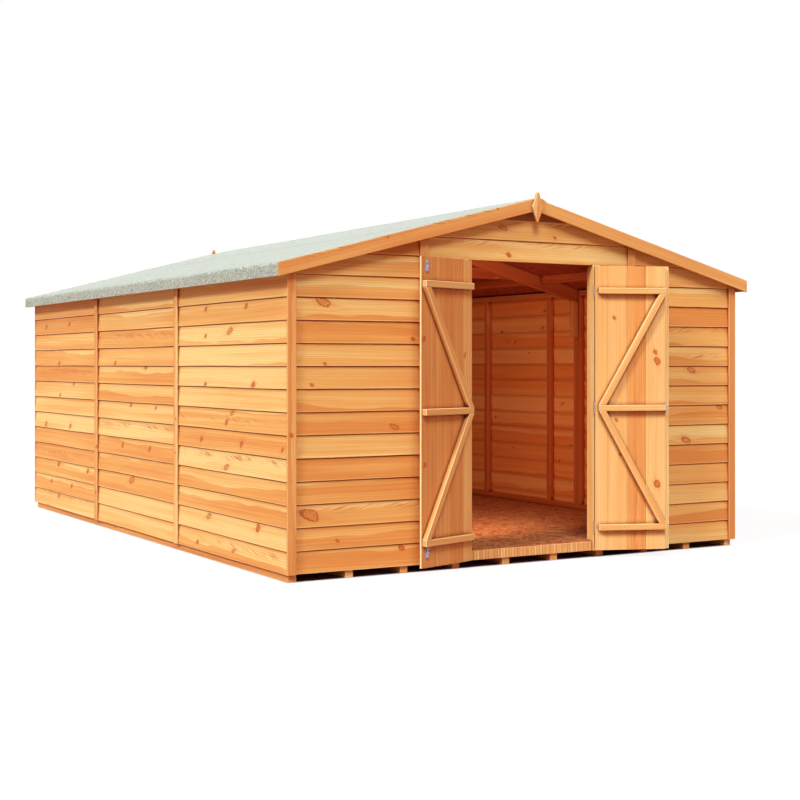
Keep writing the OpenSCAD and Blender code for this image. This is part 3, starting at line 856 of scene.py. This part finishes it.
class Wall:
    """A clad panel: where it runs, which way it faces, and its knots in the photograph."""

    def __init__(self, points, seen_knots):
        low, high = points.min(0), points.max(0)
        self.axis = 0 if high[0] - low[0] < high[1] - low[1] else 1
        self.run = 1 - self.axis
        self.out = 1.0 if low[self.axis] > 0 else -1.0
        self.depth = high[self.axis] - low[self.axis]
        self.back = low[self.axis] if self.out > 0 else high[self.axis]
        self.start, self.end = low[self.run], high[self.run]
        self.foot, self.top = low[2], high[2]
        normal = SIDE_NORMAL if self.axis == 0 else FRONT_NORMAL
        face = self.spot(self.start, self.depth, self.foot)
        seen = seen_spots(face, normal, seen_knots)
        self.knots = [(hit[self.run], hit[2], size, ring) for hit, size, ring in seen]

    def spot(self, along, outward, height):
        place = [0.0, 0.0, height]
        place[self.axis] = self.back + self.out * outward
        place[self.run] = along
        return place

    def ceiling(self, along):
        if self.axis == 0:
            return self.top
        return min(self.top, under_roof(along) - ROOF_CLEAR)

    def face_at(self, rise):
        """How far out a lap board's face stands at a height over its lower edge."""
        return self.depth - BOARD_T * min(1.0 + LAP / COURSE, rise / COURSE)


def board_places(wall, low):
    """Stations along a lap board, as far as the roof leaves room for it."""
    count = max(2, int((wall.end - wall.start) / STATION))
    places = [wall.start + (wall.end - wall.start) * step / count for step in range(count + 1)]
    if wall.axis == 1 and wall.start < 0.0 < wall.end:
        places = sorted(places + [0.0])
    return [place for place in places if wall.ceiling(place) > low + 2 * EDGE_ROUND]


def lap_board(pile, wall, low, tone, tall=COURSE, torn=False):
    """One lap board, tilted over the one below and cut to the roof where it meets it."""
    places = board_places(wall, low)
    if len(places) < 2 or places[-1] - places[0] < SHORTEST:
        return None
    sway = draw.uniform(0.0, SWAY_MOST)
    dip = draw.uniform(0.0, DIP_MOST)
    points, grain = [], []
    for place in places:
        ripple = RIPPLE_SHARE * math.sin(place * RIPPLE_TURN + 2 * sway)
        wave = dip * (math.sin(place * WAVE_TURN + sway) + ripple)
        rise = min(tall + LAP, wall.ceiling(place) - low)
        outline = (
            (0.0, wave),
            (BOARD_T - EDGE_ROUND, wave),
            (BOARD_T - EDGE_CUT, wave + EDGE_CUT),
            (BOARD_T, wave + EDGE_ROUND),
            (BOARD_T, rise),
            (0.0, rise),
        )
        for depth, height in outline:
            points.append(wall.spot(place, wall.face_at(height) - BOARD_T + depth, low + height))
            grain.append((place - wall.start, height, depth))
    faces = swept_faces(len(places), len(outline))
    pile.put(points, faces, grain, tone, board_knots(wall, low, places), torn=torn)
    return places


def board_knots(wall, low, places):
    """The photograph's knots that lie on this board, or strewn ones on a wall that it doesn't show."""
    first, last = places[0], places[-1]
    if not wall.knots:
        half = COURSE / 2
        centre = (first + last) / 2 - wall.start
        strewn = some_knots(((last - first) / 2, half))
        return [(u + centre, v + half, size, ring) for u, v, size, ring in strewn]
    held = [knot for knot in wall.knots if first < knot[0] < last and low < knot[1] < low + COURSE]
    return [(u - wall.start, z - low, size, ring) for u, z, size, ring in held]


def clad(name, node, stud_node, tone, seen_knots, most):
    """Lap boards in place of clad panels, and their nails, one in each board at each stud.

    A wall of few courses has torn grain, and its last board takes all the height that is left.
    """
    pile = Pile()
    nails = []
    for points, _ in solids(node):
        wall = Wall(points, seen_knots)
        studs = stud_lines(stud_node, wall)
        count = min(most, math.ceil((wall.top - SHORTEST - wall.foot) / COURSE))
        for course in range(count):
            low = wall.foot + course * COURSE
            tall = wall.top - low if course == most - 1 else COURSE
            board_tone = tone + draw.gauss(0.0, COURSE_SPREAD)
            places = lap_board(pile, wall, low, board_tone, tall, torn=most < ALL_COURSES)
            for stud in studs:
                if places and places[0] < stud < places[-1] and wall.ceiling(stud) > low + 2 * NAIL_RISE:
                    nails.append((wall, stud + draw.uniform(-NAIL_STRAY, NAIL_STRAY), low + NAIL_RISE))
    pile.build(name, (node,), "cladding")
    return nails


def stud_lines(stud_node, wall):
    """Middles of the studs behind a panel."""
    lines = []
    for points, _ in solids(stud_node):
        middle = (points.min(0) + points.max(0)) / 2
        near = abs(middle[wall.axis] - wall.back) < STUD_NEAR
        if near and wall.start < middle[wall.run] < wall.end:
            lines.append(middle[wall.run])
    return lines


def nail_heads(name, nails):
    """All the cladding nails as one mesh of low domes."""
    points, faces = [], []
    for wall, along, height in nails:
        outward = wall.face_at(NAIL_RISE)
        top = len(points)
        shoulder = top + 1
        skirt = shoulder + NAIL_SIDES
        points.append(wall.spot(along, outward + NAIL_DOME, height))
        for level in (NAIL_SHOULDER, -NAIL_SUNK):
            for side in range(NAIL_SIDES):
                angle = 2 * math.pi * side / NAIL_SIDES
                away = along + NAIL_R * math.cos(angle)
                points.append(wall.spot(away, outward + level, height + NAIL_R * math.sin(angle)))
        for side in range(NAIL_SIDES):
            after = (side + 1) % NAIL_SIDES
            faces.append((top, shoulder + side, shoulder + after))
            faces.append((shoulder + side, skirt + side, skirt + after, shoulder + after))
    mesh = bpy.data.meshes.new(name)
    mesh.from_pydata(points, [], faces)
    finish_piece(mesh, "shed", (), NAIL_STEEL)


class Leaf:
    """A door leaf's own frame: from the pin along the leaf, up, and toward its inside face."""

    def __init__(self, side):
        joint = next(joint for joint in frame["joints"] if joint["name"] == side + "_door_hinge")
        self.body = side + "_door"
        self.pin = np.array(joint["pos_m"])
        boards = corners(side + "_door_boards")
        plan = np.unique(np.round(boards[:, :2] - self.pin[:2], DIGITS), axis=0)
        order = plan[np.argsort(np.linalg.norm(plan, axis=1))]
        along = order[-1] + order[-2] - order[0] - order[1]
        along = along / np.linalg.norm(along)
        inward = np.array((-along[1], along[0]))
        bracing = corners(side + "_door_bracing").mean(0) - boards.mean(0)
        self.along = np.array((*along, 0.0))
        self.inward = np.array((*inward, 0.0)) * np.sign(bracing[:2] @ inward)
        self.up = np.array(UPRIGHT)

    def local(self, node):
        """A node's corners as distance along the leaf, toward the inside, and height."""
        away = corners(node) - self.pin
        return np.stack((away @ self.along, away @ self.inward, away[:, 2] + self.pin[2]), 1)

    def world(self, spots):
        spots = np.array(spots)
        heights = spots[:, 2:] - self.pin[2]
        return self.pin + spots[:, :1] * self.along + spots[:, 1:2] * self.inward + heights * self.up


def leaf_boards(leaf, tones, seen_knots):
    """Upright tongued and grooved boards with a small V at each joint, on both faces."""
    node = leaf.body + "_boards"
    spots = leaf.local(node)
    low, high = spots.min(0), spots.max(0)
    pile = Pile()
    face = leaf.world([(0.0, high[1], 0.0)])[0]
    seen = seen_spots(face, Vector(leaf.inward), seen_knots)
    knots = [((np.array(hit) - leaf.pin) @ leaf.along, hit[2], size, ring) for hit, size, ring in seen]
    edges = [low[0] + (high[0] - low[0]) * joint for joint in BOARD_JOINTS]
    for start, end, tone in zip(edges, edges[1:], tones):
        outline = (
            (start + GROOVE, low[1]), (end - GROOVE, low[1]), (end, low[1] + GROOVE_DEEP),
            (end, high[1] - GROOVE_DEEP), (end - GROOVE, high[1]), (start + GROOVE, high[1]),
            (start, high[1] - GROOVE_DEEP), (start, low[1] + GROOVE_DEEP),
        )
        held = [(z - low[2], u - start, size, ring) for u, z, size, ring in knots if start < u < end]
        # The leaf's free edge takes the painted highlight of an eased edge.
        arris = [float(u > high[0] - 0.5 * GROOVE) for u, _ in outline]
        upright_board(pile, leaf, outline, low[2], high[2], tone, held, arris)
    pile.build(node + "_grooved", (node,), "door", leaf.body)


def upright_board(pile, leaf, outline, low, high, tone, knots, arris):
    """A board of one outline in plan, standing between two heights."""
    spots = [(u, n, z) for z in (low, high) for u, n in outline]
    start = outline[0][0]
    grain = [(z - low, u - start, n) for u, n, z in spots]
    pile.put(leaf.world(spots), swept_faces(2, len(outline)), grain, tone, knots, arris * 2)


def leaf_bracing(leaf, tone):
    """Three ledges and two braces, each its own timber, cut as the CAD leaf has them."""
    node = leaf.body + "_bracing"
    pile = Pile()
    spots = leaf.local(node)
    start, near = spots.min(0)[:2]
    end, far = spots.max(0)[:2]
    ends = spots[spots[:, 0] < start + SAME_PLACE]
    levels = sorted(set(np.round(ends[:, 2], 4)))
    ledges = list(zip(levels[0::2], levels[1::2]))
    outlines = [((start, low), (end, low), (end, high), (start, high)) for low, high in ledges]
    width = ledges[0][1] - ledges[0][0]
    for (_, low), (high, _), foot, head in ((*ledges[:2], end, start), (*ledges[1:], start, end)):
        slope = math.hypot(end - start, high - low)
        step = math.copysign(width * slope / abs(high - low), head - foot)
        outlines.append(((foot, low), (foot + step, low), (head, high), (head - step, high)))
    for outline in outlines:
        points, faces = prism(outline, near, far)
        chosen = tone + draw.gauss(0.0, TRIM_SPREAD)
        timber(pile, leaf.world(points), faces, ease=TRIM_EASE, tone=chosen, knots=())
    pile.build(node + "_timbers", (node,), "door", leaf.body)


def bargeboards(name, nodes, tone):
    """Planks along the verges; the front one on the right has a waney lump and dip near the apex."""
    pile = Pile()
    for node in nodes:
        for points, _ in solids(node):
            bargeboard(pile, points, tone + draw.gauss(0.0, TRIM_SPREAD))
    pile.build(name, nodes, "trim")


def bargeboard(pile, points, tone):
    """One plank, swept from the apex to the eave, with eased edges."""
    side = np.sign(points[:, 0].mean())
    across = np.abs(points[:, 0])
    inner = points[across < across.min() + SAME_PLACE][:, 2]
    outer = points[across > across.max() - SAME_PLACE][:, 2]
    near, far = points[:, 1].min(), points[:, 1].max()
    waney = waney_places(near) if side > 0 and near < 0 else ()
    ends = (across.min(), across.max())
    places = np.linspace(*ends, BARGE_STEPS + 1)
    spots, grain = [], []
    for place in places:
        top = np.interp(place, ends, (inner.max(), outer.max()))
        low = np.interp(place, ends, (inner.min(), outer.min()))
        for middle, rise, half in waney:
            top += rise * math.exp(-((place - middle) / half) ** 2)
        outline = (
            (near, low + EASE), (near + EASE, low), (far - EASE, low), (far, low + EASE),
            (far, top - EASE), (far - EASE, top), (near + EASE, top), (near, top - EASE),
        )
        for y, z in outline:
            spots.append((side * place, y, z))
            grain.append((place, z - low, y - near))
    reach = ((ends[1] - ends[0]) / 2, BARGE_HALF)
    knots = [(u + reach[0], v + reach[1], size, ring) for u, v, size, ring in some_knots(reach)]
    if near < 0:
        knots = barge_knots(near, side, inner.min())
    pile.put(spots, swept_faces(len(places), len(outline)), grain, tone, knots)


def waney_places(plane):
    """The lump and the dip: how far from the middle the photograph shows each, its rise, its half width."""
    middles = [on_plane((0.0, plane, 0.0), FRONT_NORMAL, *pixel)[0] for pixel in WANEY_PX]
    return list(zip(middles, WANEY_RISE, WANEY_HALF))


def barge_knots(plane, side, inner_low):
    """The photograph's knots on a front bargeboard: distance from the middle, height over its lower edge."""
    seen = seen_spots((0.0, plane, 0.0), FRONT_NORMAL, BARGE_KNOTS_PX)
    held = [(abs(hit[0]), hit[2], size, ring) for hit, size, ring in seen if hit[0] * side > 0]
    return [(u, z - inner_low + ROOF_FALL * u, size, ring) for u, z, size, ring in held]


def finials(name, node, tone):
    """A spear-shaped finial over each apex: a small spike, a neck, and a long kite below."""
    pile = Pile()
    for points, _ in solids(node):
        top = points[:, 2].max()
        half = [(x, top + drop) for x, drop in FINIAL_OUTLINE]
        outline = half + [(-x, z) for x, z in half[::-1]]
        spots, faces = prism(outline, points[:, 1].min(), points[:, 1].max())
        timber(pile, spots, faces, along=UPRIGHT, tone=tone, knots=())
    pile.build(name, (node,), "trim")


def threshold_blocks(name, node):
    """The threshold's face: a row of narrow upright blocks, each of its own tone."""
    low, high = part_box(node)
    pile = Pile()
    count = round((high[0] - low[0]) / THRESHOLD_BLOCK)
    for step in range(count):
        start = low[0] + (high[0] - low[0]) * step / count
        end = low[0] + (high[0] - low[0]) * (step + 1) / count
        outline = ((start, low[2]), (end, low[2]), (end, high[2]), (start, high[2]))
        spots, faces = prism(outline, low[1], high[1])
        tone = BLOCK_TONES[step % 2] + draw.gauss(0.0, BLOCK_SPREAD)
        timber(pile, spots, faces, along=UPRIGHT, ease=BLOCK_EASE, tone=tone, knots=())
    pile.build(name, (node,), "trim")


def felt_normals(profile):
    """Unit normals of a profile (across, up), toward the weather."""
    steps = np.gradient(profile, axis=0)
    normals = np.stack((-steps[:, 1], steps[:, 0]), 1)
    normals = normals / np.linalg.norm(normals, axis=1)[:, None]
    return normals * np.sign(normals[0] @ (profile[0] * (1.0, 0.0) + (0.0, 1.0)))


def felt_swell(x, y, z):
    """How far the felt swells at a place: soft waves, from none up to the full height."""
    long_wave = math.sin(y * FELT_LONG_TURNS[0] + x * FELT_LONG_TURNS[1])
    short_wave = math.sin(y * FELT_SHORT_TURNS[0] + z * FELT_SHORT_TURNS[1])
    return FELT_WAVE * (1 + long_wave * short_wave) / 2


def felt_sheet(name, profile, material, nodes, thick=FELT_T):
    """A sheet of felt that follows a profile (across, up) from the front of the roof to its back."""
    low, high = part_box("roof_felt_left")
    count = int((high[1] - low[1]) / FELT_STATION)
    profile = np.array(profile)
    normals = felt_normals(profile)
    points = []
    for step in range(count + 1):
        y = low[1] + (high[1] - low[1]) * step / count
        swell = np.array([felt_swell(x, y, z) for x, z in profile])
        outer = profile + normals * (thick + swell)[:, None]
        points.extend((x, y, z) for x, z in (*outer, *profile[::-1]))
    mesh = bpy.data.meshes.new(name)
    mesh.from_pydata(points, [], swept_faces(count + 1, 2 * len(profile)))
    bm = bmesh.new()
    bm.from_mesh(mesh)
    bmesh.ops.recalc_face_normals(bm, faces=bm.faces)
    for edge in bm.edges:
        edge.smooth = edge.calc_face_angle(0.0) < FELT_CUT_ANGLE
    bm.to_mesh(mesh)
    bm.free()
    mesh.polygons.foreach_set("use_smooth", [True] * len(mesh.polygons))
    finish_piece(mesh, "shed", nodes, material)


def roof_felt():
    """Two side sheets turned down over the eaves, and a wide sheet lapped over the ridge."""
    points = corners("roof_felt_left")
    ridge = points[points[:, 0] > points[:, 0].max() - SAME_PLACE][:, 2].min()
    band_low, band_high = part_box("eaves_felt")
    reach = band_high[0] - FELT_T
    corner = ridge - ROOF_FALL * reach
    slope = np.linspace(FELT_RIDGE_GAP, reach - FELT_BEND, SLOPE_POINTS)
    for side, name in SIDES:
        profile = [(side * x, ridge - ROOF_FALL * x) for x in slope]
        felt_sheet("felt_" + name, profile, FELT_TOP, ("roof_felt_" + name,))
    back, down = FELT_BEND_MIDDLE
    band = np.linspace(corner - FELT_BEND, band_low[2], BAND_POINTS)
    for side, name in SIDES:
        nodes = ("eaves_felt",) if side < 0 else ()
        fold = [(side * (reach - FELT_BEND), corner + ROOF_FALL * FELT_BEND)]
        fold += [(side * (reach - back), corner - down)]
        fold += [(side * reach, z) for z in band]
        felt_sheet("eaves_felt_" + name, fold, FELT_BAND, nodes)
    across = np.linspace(-CAP_REACH, CAP_REACH, CAP_POINTS)
    cap = [(x, ridge + FELT_T - ROOF_FALL * abs(x)) for x in across]
    felt_sheet("felt_ridge", cap, FELT_TOP, (), CAP_T)


def set_material(nodes, material):
    """A CAD node whose shape is right keeps its mesh and takes a finished material."""
    for node in nodes:
        mesh = frame["nodes"][node].data
        mesh.materials.clear()
        mesh.materials.append(material)


def sky():
    """An even sky, which the camera and reflections see as white."""
    world = bpy.data.worlds.new("studio")
    bpy.context.scene.world = world
    g = Graph(world)
    plain = g.node("ShaderNodeBackground", {0: SKY_COLOUR, 1: SKY_STRENGTH})
    white = g.node("ShaderNodeBackground", {0: WHITE, 1: 1.0})
    both = g.mix_shaders(g.studio_rays(), plain, white)
    g.node("ShaderNodeOutputWorld", {0: both.outputs[0]})


def studio_floor():
    """A white floor that keeps the shed's shadow, faint around it and full beneath it, where a darker colour
    adds painted shade.
    """
    g = material_graph("studio_floor")
    x, y, _ = g.split(g.place())
    _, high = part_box("floor_joists")
    past_x = g.less(g.math("ABSOLUTE", x), high[0])
    past_y = g.less(g.math("ABSOLUTE", y), high[1])
    beneath = g.smooth(g.most(past_x, past_y), *UNDER_EDGE)
    bare = g.node("ShaderNodeBsdfDiffuse", {"Color": FLOOR_COLOUR})
    # Beneath the shed the floor is darker: painted shade.
    shaded = g.node("ShaderNodeBsdfDiffuse", {"Color": g.mix(beneath, WHITE[:3], UNDER_SHED_SHADE)})
    glow = g.node("ShaderNodeEmission", {"Color": WHITE, "Strength": 1.0})
    shown = g.mix_shaders(g.most(beneath, FLOOR_SHADE), glow, shaded)
    both = g.mix_shaders(g.studio_rays(), bare, shown)
    g.node("ShaderNodeOutputMaterial", {"Surface": both.outputs[0]})
    bpy.ops.mesh.primitive_plane_add(size=FLOOR_SIZE)
    floor = bpy.context.object
    floor.name = "studio_floor"
    floor.data.materials.append(g.owner)


def lamp(light, place, toward):
    """Puts a light in the scene, shining away from a direction."""
    holder = bpy.data.objects.new(light.name, light)
    holder.location = place
    holder.rotation_euler = toward.to_track_quat("Z", "Y").to_euler()
    holder.visible_camera = False
    bpy.context.scene.collection.objects.link(holder)


def lights():
    """The suns, and a soft glow that carries the daylight in through the doorway."""
    for name, azimuth, height, strength, spread in SUNS:
        sun = bpy.data.lights.new(name, "SUN")
        sun.energy = strength
        sun.color = SUN_COLOUR
        sun.angle = math.radians(spread)
        side, rise = math.radians(azimuth), math.radians(height)
        level = math.cos(rise)
        toward = Vector((-level * math.sin(side), -level * math.cos(side), math.sin(rise)))
        lamp(sun, (0.0, 0.0, 0.0), toward)
    glow = bpy.data.lights.new("doorway_glow", "AREA")
    glow.shape = "RECTANGLE"
    glow.size, glow.size_y = GLOW_SIZE
    glow.energy = GLOW_POWER
    glow.color = GLOW_COLOUR
    glow.spread = GLOW_SPREAD
    lamp(glow, GLOW_PLACE, Vector(GLOW_TILT))


def camera():
    """The photograph's camera."""
    lens = bpy.data.cameras.new("camera")
    lens.sensor_width = SENSOR_MM
    lens.lens = SENSOR_MM * FOCAL_PX / IMAGE_PX
    lens.shift_y = (HORIZON_PX - IMAGE_PX / 2) / IMAGE_PX
    eye = bpy.data.objects.new("camera", lens)
    eye.location = CAMERA_PLACE
    eye.rotation_euler = (math.pi / 2, 0.0, -CAMERA_YAW)
    bpy.context.scene.collection.objects.link(eye)
    bpy.context.scene.camera = eye
    bpy.context.scene.view_settings.view_transform = "Standard"


# Steel has a dark and a bright tone; felt has a pale and a grey one, its grain in metres, and its shares of
# black and of white grains.
MATERIALS = {slot: wood(slot) for slot in WOODS}
STRAND_BOARD = strand_board()
ZINC = plated("zinc_plate", ((0.34, 0.31, 0.42), (0.56, 0.53, 0.68)), *PLATE)
HINGE_STEEL = plated("hinge_plate", ((0.4, 0.29, 0.25), (0.56, 0.43, 0.37)), *PLATE)
NAIL_STEEL = plated("nail_steel", ((0.5, 0.27, 0.12), (0.7, 0.45, 0.24)), *STAINED_PLATE)
FELT_TOP = felt("felt_top", (0.48, 0.545, 0.5), (0.43, 0.49, 0.45), 0.004, 0.05, 0.1)
# The eaves band takes a darker felt than the top: painted shade on the band.
FELT_BAND = felt("felt_band", (0.47, 0.56, 0.5), (0.33, 0.4, 0.34), 0.006, 0.14, 0.1)

sky()
studio_floor()
lights()
camera()

nails = []
for wall_row in (
    ("left_lap_boards", "left_cladding", "side_studs", 0.45, LEFT_WALL_KNOTS_PX, ALL_COURSES),
    ("right_lap_boards", "right_cladding", "side_studs", 0.1, (), ALL_COURSES),
    ("back_lap_boards", "back_cladding", "gable_studs", 0.0, (), ALL_COURSES),
    ("front_lap_boards", "front_cladding", "gable_studs", -0.35, FRONT_WALL_KNOTS_PX, ALL_COURSES),
    ("flank_lap_boards", "door_flank_cladding", "gable_studs", -0.35, FRONT_WALL_KNOTS_PX, ALL_COURSES),
    ("header_lap_boards", "header_cladding", "gable_studs", -0.35, FRONT_WALL_KNOTS_PX, HEADER_COURSES),
):
    nails += clad(*wall_row)
nail_heads("cladding_nails", nails)

# The joists take the brighter sill wood, painted light; the framing takes low tones and the darker woods,
# painted shade.
timbers("joist_timbers", ("floor_joists",), "framing", tone=0.2, material="sill")
timbers("side_rail_timbers", ("side_rails",), "framing", tone=-0.7)
timbers("side_stud_timbers", ("side_studs",), "framing", tone=-0.6)
timbers("gable_rail_timbers", ("gable_rails",), "framing", tone=-0.7)
timbers("gable_stud_timbers", ("gable_studs",), "framing", tone=-0.6)
timbers("lintel_timber", ("door_lintel",), "framing")
timbers("post_timbers", ("door_posts",), "trim", tone=1.1, ease=TRIM_EASE, knots=())
threshold_blocks("threshold_blocks", "threshold")
timbers("corner_timbers", ("corner_strips",), "trim", tone=-0.4, seen_knots=CORNER_KNOTS_PX)
timbers("side_strip_timbers", ("side_cover_strips",), "trim", tone=0.3)
timbers("gable_strip_timbers", ("gable_cover_strips",), "trim", tone=0.0)
timbers("rafter_timbers", ("truss_rafters_left", "truss_rafters_right"), "framing", material="roof")
timbers("tie_timbers", ("truss_ties",), "framing", material="roof")
timbers("leg_timbers", ("truss_legs",), "framing")
timbers("purlin_timbers", ("purlins",), "framing", material="roof")
timbers("batten_timbers", ("eaves_battens",), "framing")
bargeboards("barge_planks", ("bargeboards_left", "bargeboards_right"), 0.3)
finials("finial_spears", "finials", -0.3)
# The meeting strip takes the brighter sill wood and a high tone: painted light where the leaf shades it.
timbers(
    "meeting_strip", ("right_door_cover_strip",), "trim", body="right_door", tone=1.2, ease=TRIM_EASE,
    material="sill", knots=(),
)

left_leaf = Leaf("left")
right_leaf = Leaf("right")
leaf_boards(left_leaf, (0.3, -1.1, -0.8, -1.0), LEFT_LEAF_KNOTS_PX)
leaf_boards(right_leaf, (0.6, 0.7, -0.9, 1.1), RIGHT_LEAF_KNOTS_PX)
leaf_bracing(left_leaf, 0.1)
leaf_bracing(right_leaf, 0.5)

roof_felt()
set_material(("floor_deck", "roof_sheet_left", "roof_sheet_right"), STRAND_BOARD)
set_material(("post_hinge_plates", "left_door_hinge_plates", "right_door_hinge_plates"), HINGE_STEEL)
set_material(("left_door_bolts", "right_door_lock"), ZINC)
